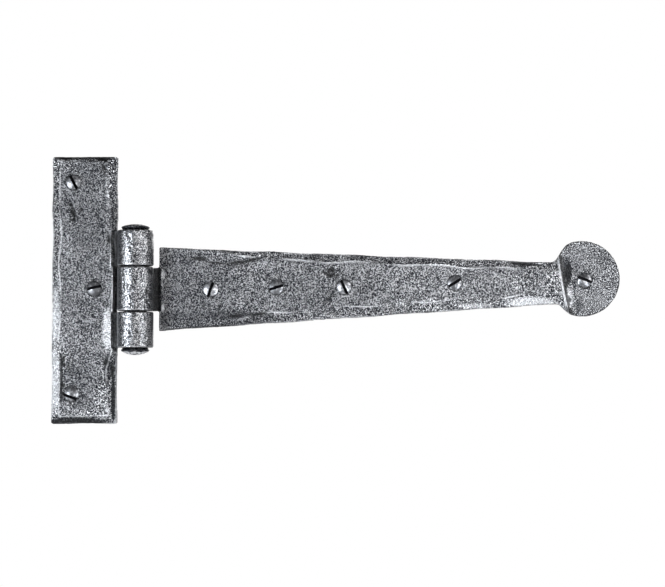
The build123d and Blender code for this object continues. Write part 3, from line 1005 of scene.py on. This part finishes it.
def speckle_group():
    """The fine speckle of a patina: masks of its bright grains and its fine and coarse pits, and a height."""
    if "Forged speckle" in bpy.data.node_groups:
        return bpy.data.node_groups["Forged speckle"]
    group, given, made = new_group(
        "Forged speckle",
        {
            "Grain Size": ("NodeSocketFloat", 0.001),
            "Patchiness": ("NodeSocketFloat", 0.3),
            "Shift": ("NodeSocketFloat", 0.0),
        },
        {
            "Grains": "NodeSocketFloat",
            "Pits": "NodeSocketFloat",
            "Coarse Pits": "NodeSocketFloat",
            "Height": "NodeSocketFloat",
        },
    )
    place = add_node(group, "ShaderNodeTexCoord").outputs["Object"]
    shifted = {0: place, 1: given.outputs["Shift"]}
    moved = add_node(group, "ShaderNodeVectorMath", shifted, operation="ADD").outputs[0]
    scale = arithmetic(group, "DIVIDE", 1.0, given.outputs["Grain Size"])
    grain = noise(group, moved, scale, 1.0, 0.6)
    clouds = noise(group, moved, times(group, scale, 0.06), 3.0, 0.6)
    lifted = times(group, less(group, clouds, 0.5), given.outputs["Patchiness"])
    mixed = arithmetic(group, "ADD", grain, lifted)
    coarse = noise(group, moved, times(group, scale, 0.62), 1.0)
    pits = larger(group, ramp(group, mixed, 0.49, 0.4), ramp(group, coarse, 0.36, 0.29))
    group.links.new(ramp(group, mixed, 0.51, 0.6), made.inputs["Grains"])
    group.links.new(pits, made.inputs["Pits"])
    group.links.new(ramp(group, coarse, 0.47, 0.39), made.inputs["Coarse Pits"])
    group.links.new(mixed, made.inputs["Height"])
    return group


def wear_light_and_shade_group():
    """Lightens worn edges and painted highlights, and darkens painted shade and the patina in hollows, on a
    patina.
    """
    if "Wear, highlight and shade" in bpy.data.node_groups:
        return bpy.data.node_groups["Wear, highlight and shade"]
    group, given, made = new_group(
        "Wear, highlight and shade",
        {
            "Color": ("NodeSocketColor", (0.3, 0.3, 0.3, 1.0)),
            "Burnished": ("NodeSocketColor", (0.7, 0.7, 0.7, 1.0)),
            "Shade And Patina Colour": ("NodeSocketColor", (0.02, 0.02, 0.02, 1.0)),
            "Wear And Highlight": ("NodeSocketFloat", 0.0),
            "Shade And Patina": ("NodeSocketFloat", 0.0),
            "Break Up": ("NodeSocketFloat", 0.5),
        },
        {"Color": "NodeSocketColor"},
    )
    place = add_node(group, "ShaderNodeTexCoord").outputs["Object"]
    broken = ramp(group, noise(group, place, 900.0, 2.0), 0.35, 0.6)
    kept = less(group, 1.0, times(group, broken, given.outputs["Break Up"]))
    worn_and_lit = times(group, given.outputs["Wear And Highlight"], kept)
    light = blend(group, worn_and_lit, given.outputs["Color"], given.outputs["Burnished"])
    darkened_colour = blend(group, given.outputs["Shade And Patina"], light, given.outputs["Shade And Patina Colour"])
    group.links.new(darkened_colour, made.inputs["Color"])
    return group


def new_material(name):
    """An empty material with a Principled shader, and its node tree and shader."""
    material = bpy.data.materials.new(name)
    material.use_nodes = True
    tree = material.node_tree
    return material, tree, tree.nodes["Principled BSDF"]


def solid(colour):
    """A colour with full alpha."""
    return (*colour, 1.0)


def point_mask(tree, name):
    """A mask that a mesh keeps at its points."""
    return add_node(tree, "ShaderNodeAttribute", attribute_name=name).outputs["Fac"]


def add_speckle(tree, grain_size, patchiness, shift):
    """The outputs of the speckle group, with its values for one material."""
    sockets = {"Grain Size": grain_size, "Patchiness": patchiness, "Shift": shift}
    return add_node(tree, "ShaderNodeGroup", sockets, node_tree=speckle_group()).outputs


def add_gloss(tree, shader, polish, rough, smooth):
    """Makes a shader smoother where polish is high."""
    gloss = add_node(tree, "ShaderNodeMapRange", {"Value": polish, "To Min": rough, "To Max": smooth})
    tree.links.new(gloss.outputs["Result"], shader.inputs["Roughness"])


def add_relief(tree, shader, height, strength, millimetres):
    """Bumps a shader's surface by a height."""
    sockets = {"Height": height, "Strength": strength, "Distance": millimetres * MM}
    tree.links.new(add_node(tree, "ShaderNodeBump", sockets).outputs["Normal"], shader.inputs["Normal"])


def leaf_material(name, finish, shift):
    """Pewter patina on forged steel: speckled faces, brighter rolls and bevels, worn edges, painted
    highlights, and painted shade with dark patina in hollows.
    """
    material, tree, shader = new_material(name)
    speckle = add_speckle(tree, finish.grain_size, 0.14, shift)
    bevel, rolled, rubbed = (point_mask(tree, mask) for mask in ("bevel", "rolled", "rubbed"))
    # lighter is the rolls and the painted highlights, which get a lighter patina and more bright grains
    lighter = larger(tree, times(tree, rolled, 0.45), rubbed)

    # The extra bright grains on the bevels stand partly for painted glints of light
    on_face, on_bevel, on_lighter = 0.48, 0.5, 0.45
    brighter_grains = arithmetic(tree, "ADD", times(tree, bevel, on_bevel), times(tree, lighter, on_lighter))
    grains = times(tree, speckle["Grains"], arithmetic(tree, "ADD", on_face, brighter_grains))
    depth = less(tree, 0.95, times(tree, rubbed, 0.4))
    pits = times(tree, larger(tree, speckle["Pits"], times(tree, speckle["Coarse Pits"], bevel)), depth)

    patina = blend(tree, lighter, solid(finish.middle), solid(finish.rolled))
    grained = blend(tree, grains, patina, solid(finish.bright))
    # Tarnish and painted shade darken the patina
    shade_and_tarnish = times(tree, point_mask(tree, "tarnished"), 0.85)
    mottled = blend(tree, pits, blend(tree, shade_and_tarnish, grained, solid(finish.dark)), solid(finish.dark))

    edge = times(tree, point_mask(tree, "worn_edge"), 0.2)
    # Painted highlight, with fewer pits under it
    highlight_between_pits = times(tree, times(tree, rubbed, 0.85), less(tree, 1.0, pits))
    # Worn edges and painted highlights lighten; painted shade and hollow patina darken
    sockets = {
        "Color": mottled,
        "Burnished": solid(finish.bright),
        "Wear And Highlight": larger(tree, larger(tree, edge, point_mask(tree, "ridge")), highlight_between_pits),
        "Shade And Patina": times(tree, point_mask(tree, "shade_and_patina"), 0.85),
        "Break Up": 0.3,
    }
    wear_light_and_shade = add_node(tree, "ShaderNodeGroup", sockets, node_tree=wear_light_and_shade_group())
    tree.links.new(wear_light_and_shade.outputs["Color"], shader.inputs["Base Color"])
    shader.inputs["Metallic"].default_value = 0.9
    polish = larger(tree, grains, times(tree, rolled, 0.8))
    add_gloss(tree, shader, polish, finish.gloss_low, finish.gloss_high)
    evened = less(tree, 1.0, times(tree, rolled, 0.62))
    roughened = arithmetic(tree, "ADD", evened, times(tree, bevel, 0.5))
    add_relief(tree, shader, times(tree, speckle["Height"], roughened), 0.9, 0.45)
    return material


def pin_material(finish):
    """Dark forged steel, with a painted highlight on the lower dome."""
    material, tree, shader = new_material("upset pin steel")
    speckle = add_speckle(tree, 0.9 * MM, 0.3, 0.31)
    base = blend(tree, speckle["Grains"], solid(finish.pin_dark), solid(finish.pin_light))
    mottled = blend(tree, speckle["Pits"], base, solid(finish.dark))
    # Painted highlight on the lower dome, broken by coarse pits
    rubbed = times(tree, point_mask(tree, "rubbed"), less(tree, 1.0, speckle["Coarse Pits"]))
    tree.links.new(blend(tree, rubbed, mottled, solid(finish.bright)), shader.inputs["Base Color"])
    shader.inputs["Metallic"].default_value = 0.9
    add_gloss(tree, shader, speckle["Grains"], 0.55, 0.35)
    add_relief(tree, shader, speckle["Height"], 0.6, 0.2)
    return material


def screw_material(finish):
    """Smoother steel with soft stains, heads darkened for tarnish and painted shade, and painted shade at the
    rim and in the slot.
    """
    material, tree, shader = new_material("screw steel")
    speckle = add_speckle(tree, 1.5 * MM, 0.6, 0.73)
    clean = blend(tree, speckle["Grains"], solid(finish.screw_steel), solid(finish.screw_bright))
    stained = blend(tree, times(tree, speckle["Pits"], 0.5), clean, solid(finish.screw_stain))
    # Each head darkened by its share of tarnish and painted shade
    tarnished = blend(tree, point_mask(tree, "tarnished"), stained, solid(finish.dark))
    # Painted shade: a dark ring at the head's rim and the slot's near-black inside
    rimmed = blend(tree, times(tree, point_mask(tree, "rim"), 0.35), tarnished, solid(finish.screw_rim))
    slotted = blend(tree, point_mask(tree, "slot"), rimmed, solid(finish.slot))
    tree.links.new(slotted, shader.inputs["Base Color"])
    shader.inputs["Metallic"].default_value = 1.0
    add_gloss(tree, shader, speckle["Grains"], 0.46, 0.34)
    add_relief(tree, shader, speckle["Height"], 0.3, 0.12)
    return material


def floor_material(stage):
    """Pale matt floor with a faint mottle, which glows for the camera and lights nothing."""
    material, tree, shader = new_material("pale floor")
    place = add_node(tree, "ShaderNodeTexCoord").outputs["Object"]
    darker = tuple(0.96 * channel for channel in stage.floor_colour)
    mottle = blend(tree, noise(tree, place, 9.0, 4.0), solid(darker), solid(stage.floor_colour))
    tree.links.new(mottle, shader.inputs["Base Color"])
    shader.inputs["Roughness"].default_value = 0.9
    glow = tuple(stage.floor_glow * channel for channel in stage.floor_colour)
    seen = add_node(tree, "ShaderNodeLightPath").outputs["Is Camera Ray"]
    tree.links.new(blend(tree, seen, solid(BLACK), solid(glow)), shader.inputs["Emission Color"])
    shader.inputs["Emission Strength"].default_value = 1.0
    add_relief(tree, shader, noise(tree, place, 400.0, 3.0), 0.05, 1.0)
    return material


def studio_world(stage):
    """A plain room: lighter below and to the left, bright behind the hinge and white to the camera."""
    world = bpy.data.worlds.new("studio room")
    bpy.context.scene.world = world
    world.use_nodes = True
    tree = world.node_tree
    toward = add_node(tree, "ShaderNodeTexCoord").outputs["Generated"]
    low_left = Vector((-0.5, 0.0, -0.85)).normalized()
    sockets = {0: toward, 1: low_left}
    facing = add_node(tree, "ShaderNodeVectorMath", sockets, operation="DOT_PRODUCT").outputs["Value"]
    room = blend(tree, ramp(tree, facing, 0.1, 0.9), solid(stage.room), solid(stage.room_below))
    behind = add_node(tree, "ShaderNodeSeparateXYZ", {0: toward}).outputs["Y"]
    room = blend(tree, ramp(tree, behind, 0.4, 0.95), room, solid(stage.room_behind))
    seen = add_node(tree, "ShaderNodeLightPath").outputs["Is Camera Ray"]
    tree.links.new(blend(tree, seen, room, solid(WHITE)), tree.nodes["Background"].inputs["Color"])


def soft_light(name, place, aim, width, height, watts, colour):
    """A soft light that looks at a point. Lengths are in metres."""
    lamp = bpy.data.lights.new(name, "AREA")
    lamp.shape = "RECTANGLE"
    lamp.size = width
    lamp.size_y = height
    lamp.energy = watts
    lamp.color = colour
    stand = bpy.data.objects.new(name, lamp)
    stand.location = place
    stand.rotation_euler = (Vector(aim) - Vector(place)).to_track_quat("-Z", "Y").to_euler()
    bpy.context.scene.collection.objects.link(stand)


def lay_floor(stage, centre_x):
    """The square floor far below the hinge."""
    half = stage.floor_width / 2
    level = cad_box[0].z - stage.floor_drop
    mesh = bpy.data.meshes.new("floor")
    sides = ((-half, -half), (half, -half), (half, half), (-half, half))
    mesh.from_pydata([(centre_x + x, y, level) for x, y in sides], [], [(0, 1, 2, 3)])
    mesh.materials.append(floor_material(stage))
    floor = bpy.data.objects.new("floor", mesh)
    bpy.context.scene.collection.objects.link(floor)


def set_camera(stage, aim):
    """The camera at the photo's angle, a little below the hinge and looking up at it."""
    away = Vector((0.0, -math.cos(stage.below), -math.sin(stage.below))) * stage.distance
    camera = bpy.data.cameras.new("camera")
    camera.sensor_width = 36.0
    camera.lens = camera.sensor_width * stage.distance / stage.seen_width
    camera.clip_start, camera.clip_end = 0.01, 20.0
    stand = bpy.data.objects.new("camera", camera)
    stand.location = aim + away
    stand.rotation_euler = (-away).to_track_quat("-Z", "Y").to_euler()
    bpy.context.scene.collection.objects.link(stand)
    bpy.context.scene.camera = stand


class HINGE_OT_forge_back_plate(bpy.types.Operator):
    """Make the hammered back plate with its two rolled knuckles"""

    bl_idname = "hinge.forge_back_plate"
    bl_label = "Forge back plate"

    def execute(self, context):
        settings = context.scene.tee_hinge
        mesh = even_mesh("back_plate", settings.forging.plate_mesh)
        forge_leaf(mesh, settings.forging, PLATE_WORK)
        material = leaf_material("plate pewter patina", settings.finish, 0.0)
        add_piece("forged_back_plate", mesh, FRAME_LEAF, "back_plate", material)
        return {"FINISHED"}


class HINGE_OT_forge_strap(bpy.types.Operator):
    """Make the hammered strap with its rolled knuckle and round end"""

    bl_idname = "hinge.forge_strap"
    bl_label = "Forge strap"

    def execute(self, context):
        settings = context.scene.tee_hinge
        mesh = even_mesh("strap", settings.forging.strap_mesh)
        forge_leaf(mesh, settings.forging, STRAP_WORK)
        material = leaf_material("strap pewter patina", settings.finish, 0.17)
        add_piece("forged_strap", mesh, DOOR_LEAF, "strap", material)
        return {"FINISHED"}


class HINGE_OT_upset_pin(bpy.types.Operator):
    """Make the hinge pin with its upset, peened ends"""

    bl_idname = "hinge.upset_pin"
    bl_label = "Upset pin"

    def execute(self, context):
        settings = context.scene.tee_hinge

        def place(across, aside, height):
            return ((PIN_AXIS_X + across) * MM, (PIN_AXIS_Y + aside) * MM, height * MM)

        mesh = turned_mesh("upset pin", pin_profile(settings.pin), PIN_COLUMNS, place)
        peen(mesh, *PIN_PEENING, PIN_SEED, PIN_LOW, PIN_HIGH)
        heights = mesh_arrays(mesh)[0][:, 2]
        dome_start = PIN_LOW[2] + settings.pin.bottom_dome / MM
        # Painted highlight on the lower dome
        set_mask(mesh, "rubbed", smooth_step(dome_start + 0.1, dome_start - 0.3, heights))
        add_piece("upset_pin", mesh, FRAME_LEAF, "hinge_pin", pin_material(settings.finish))
        return {"FINISHED"}


class HINGE_OT_drive_screws(bpy.types.Operator):
    """Make the slotted wood screws of both leaves"""

    bl_idname = "hinge.drive_screws"
    bl_label = "Drive screws"

    def execute(self, context):
        settings = context.scene.tee_hinge
        material = screw_material(settings.finish)
        seeds = itertools.count(FIRST_SCREW_SEED)
        for body, nodes in ((FRAME_LEAF, PLATE_SCREWS), (DOOR_LEAF, STRAP_SCREWS)):
            for node in nodes:
                mesh = screw_mesh(f"{node} steel", settings.screw, node, next(seeds))
                add_piece(f"slotted_{node}", mesh, body, node, material)
        return {"FINISHED"}


class HINGE_OT_light_stage(bpy.types.Operator):
    """Set the floor, the soft lights and the camera"""

    bl_idname = "hinge.light_stage"
    bl_label = "Light stage"

    def execute(self, context):
        stage = context.scene.tee_hinge.stage
        aim = Vector((stage.aim_x, 0.0, -stage.aim_drop))
        lay_floor(stage, aim.x)
        studio_world(stage)
        targets = {
            "pin": Vector((PIN_AXIS_X, PIN_AXIS_Y, 0.0)) * MM,
            "strap": (0.2, 0.0, 0.0),
            "neck": (0.21, 0.0, 0.0),
            "middle": aim,
        }
        for name, place, target, width, height, watts, colour in SOFT_LIGHTS:
            soft_light(name, place, targets[target], width, height, watts, colour)
        set_camera(stage, aim)
        context.scene.view_settings.view_transform = "Standard"
        return {"FINISHED"}


class HINGE_PT_tee_hinge(bpy.types.Panel):
    """Steps and sizes of the tee hinge"""

    bl_idname = "HINGE_PT_tee_hinge"
    bl_label = "Tee hinge"
    bl_space_type = "VIEW_3D"
    bl_region_type = "UI"
    bl_category = "Tee hinge"

    def draw(self, context):
        for step in STEPS:
            self.layout.operator(step.bl_idname)
        settings = context.scene.tee_hinge
        for part in ("forging", "finish", "pin", "screw", "stage"):
            box = self.layout.box()
            group = getattr(settings, part)
            for name in group.bl_rna.properties.keys():
                if name not in ("rna_type", "name"):
                    box.prop(group, name)


STEPS = (
    HINGE_OT_forge_back_plate,
    HINGE_OT_forge_strap,
    HINGE_OT_upset_pin,
    HINGE_OT_drive_screws,
    HINGE_OT_light_stage,
)
CLASSES = (
    ForgingSettings,
    FinishSettings,
    PinSettings,
    ScrewSettings,
    StageSettings,
    TeeHingeSettings,
    *STEPS,
    HINGE_PT_tee_hinge,
)


def register():
    for entry in CLASSES:
        bpy.utils.register_class(entry)
    bpy.types.Scene.tee_hinge = bpy.props.PointerProperty(type=TeeHingeSettings)


def unregister():
    del bpy.types.Scene.tee_hinge
    for entry in reversed(CLASSES):
        bpy.utils.unregister_class(entry)


def main():
    register()
    bpy.ops.hinge.forge_back_plate()
    bpy.ops.hinge.forge_strap()
    bpy.ops.hinge.upset_pin()
    bpy.ops.hinge.drive_screws()
    bpy.ops.hinge.light_stage()


if __name__ == "__main__":
    main()
